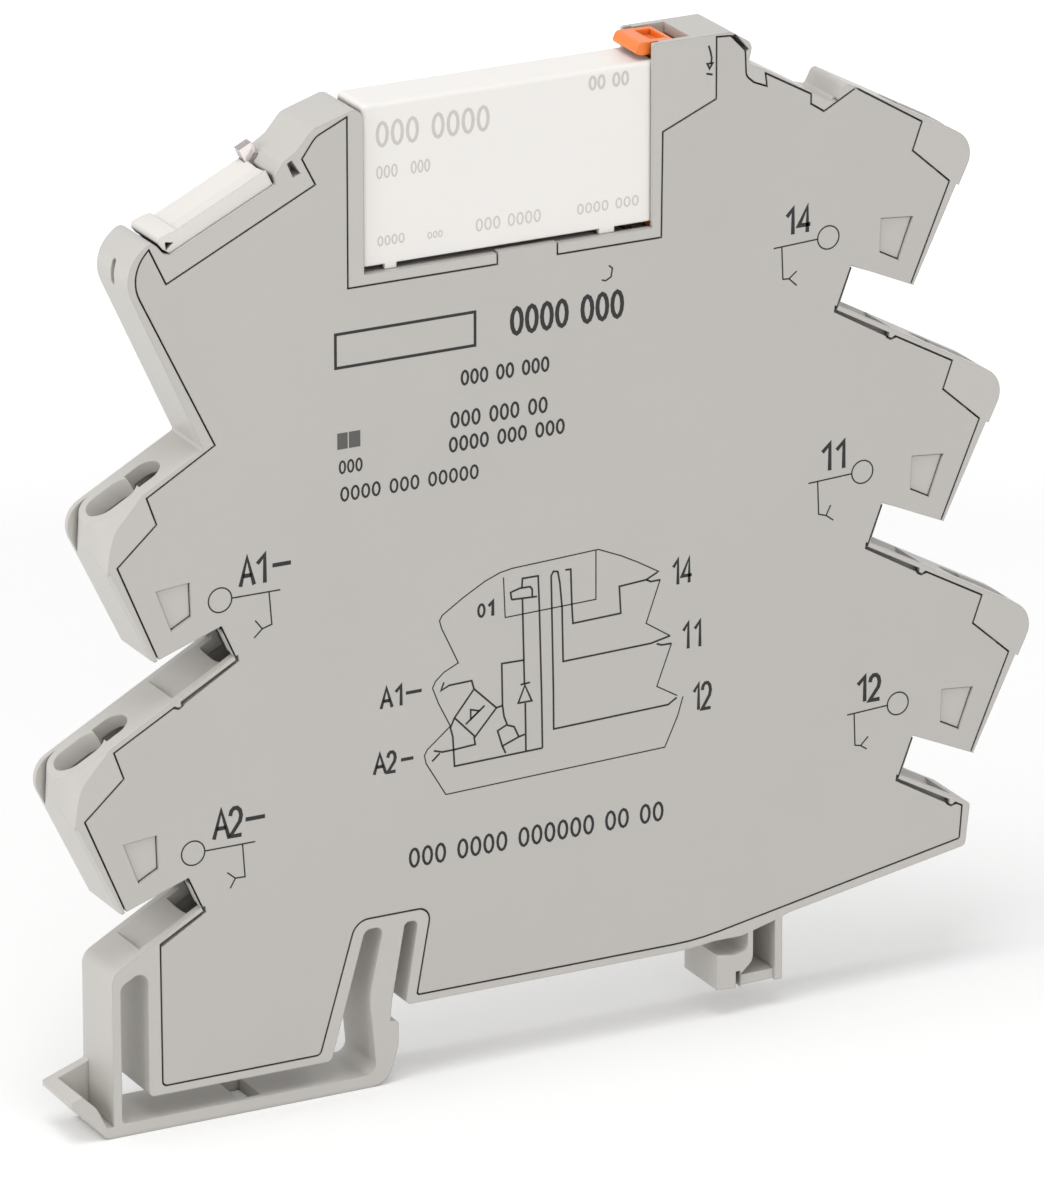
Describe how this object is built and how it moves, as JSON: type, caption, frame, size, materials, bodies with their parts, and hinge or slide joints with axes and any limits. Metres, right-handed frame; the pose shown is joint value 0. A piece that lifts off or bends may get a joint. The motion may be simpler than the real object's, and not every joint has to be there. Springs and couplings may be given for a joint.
{
  "type": "slim pluggable relay interface module",
  "caption": "Slim grey rail-mounted relay module with stepped push-in terminals, a plug-in white relay, an orange ejector lever and a white marker carrier.",
  "frame": {"origin": "centre of the mounting rail's top face, at half the module's thickness", "axes": "+X along the module from the coil side to the contact side, +Y across the thickness to the far side face, +Z away from the rail"},
  "size_m": [0.094, 0.006, 0.0906],
  "materials": {
    "grey_housing": "fine satin moulding",
    "white_carrier": "satin",
    "clear_guide": "clear moulding",
    "relay_white": "satin",
    "relay_base": "matt moulding",
    "orange_lever": "satin gloss",
    "board_green": "solder-resist laminate",
    "component_black": "moulded",
    "led_body": "clear-topped",
    "spring_steel": "rolled strip",
    "tinned_copper": "tinned copper strip",
    "pin_metal": "tin plated",
    "coil_copper": "enamelled wire",
    "magnet_iron": "annealed iron",
    "bobbin_black": "moulded",
    "card_natural": "moulded",
    "contact_bronze": "spring bronze with silver button"
  },
  "bodies": {
    "module": {"housing": "grey_housing", "side_cover": "grey_housing", "marker_carrier": "white_carrier", "light_guide": "clear_guide", "circuit_board": "board_green", "bridge_rectifier": "component_black", "suppressor_diode": "component_black", "series_resistor": "component_black", "status_led": "led_body", "coil_contact_left": "tinned_copper", "coil_contact_right": "tinned_copper", "clamp_spring_a1": "spring_steel", "current_bar_a1": "tinned_copper", "clamp_spring_a2": "spring_steel", "current_bar_a2": "tinned_copper", "clamp_spring_11": "spring_steel", "current_bar_11": "tinned_copper", "clamp_spring_12": "spring_steel", "current_bar_12": "tinned_copper", "clamp_spring_14": "spring_steel", "current_bar_14": "tinned_copper"},
    "lever": {"ejector_lever": "orange_lever"},
    "relay": {"relay_case": "relay_white", "relay_base": "relay_base", "relay_bobbin": "bobbin_black", "relay_winding": "coil_copper", "relay_core": "magnet_iron", "relay_yoke": "magnet_iron", "relay_coil_pin_left": "pin_metal", "relay_coil_pin_right": "pin_metal", "relay_common_terminal": "pin_metal", "relay_contact_no": "contact_bronze", "relay_contact_nc": "contact_bronze"},
    "armature": {"relay_armature": "magnet_iron"},
    "card": {"relay_card": "card_natural"},
    "contact": {"relay_moving_contact": "contact_bronze"}
  },
  "joints": [
    {"name": "lever_hinge", "type": "hinge", "parent": "module", "child": "lever", "pos_m": [0.012, 0, 0.0795], "axis": [0, 1, 0], "range_deg": [0, 15]},
    {"name": "relay_lift", "type": "slide", "parent": "module", "child": "relay", "axis": [0, 0, 1], "range_m": [0, 0.00145]},
    {"name": "card_slide", "type": "slide", "parent": "relay", "child": "card", "axis": [-1, 0, 0], "range_m": [0, 0.0008], "stiffness_N_per_m": 5},
    {"name": "armature_hinge", "type": "hinge", "parent": "relay", "child": "armature", "pos_m": [-0.0033, 0, 0.06964], "axis": [0, -1, 0], "range_deg": [0, 4.5]},
    {"name": "contact_hinge", "type": "hinge", "parent": "relay", "child": "contact", "pos_m": [0.0037, 0, 0.06947], "axis": [0, -1, 0], "range_deg": [0, 4.5]}
  ],
  "couplings": [
    {"joint": "lever_hinge", "follows": "relay_lift", "rad_per_m": 180.4},
    {"joint": "armature_hinge", "follows": "card_slide", "rad_per_m": 97.8},
    {"joint": "contact_hinge", "follows": "card_slide", "rad_per_m": 95.5}
  ]
}
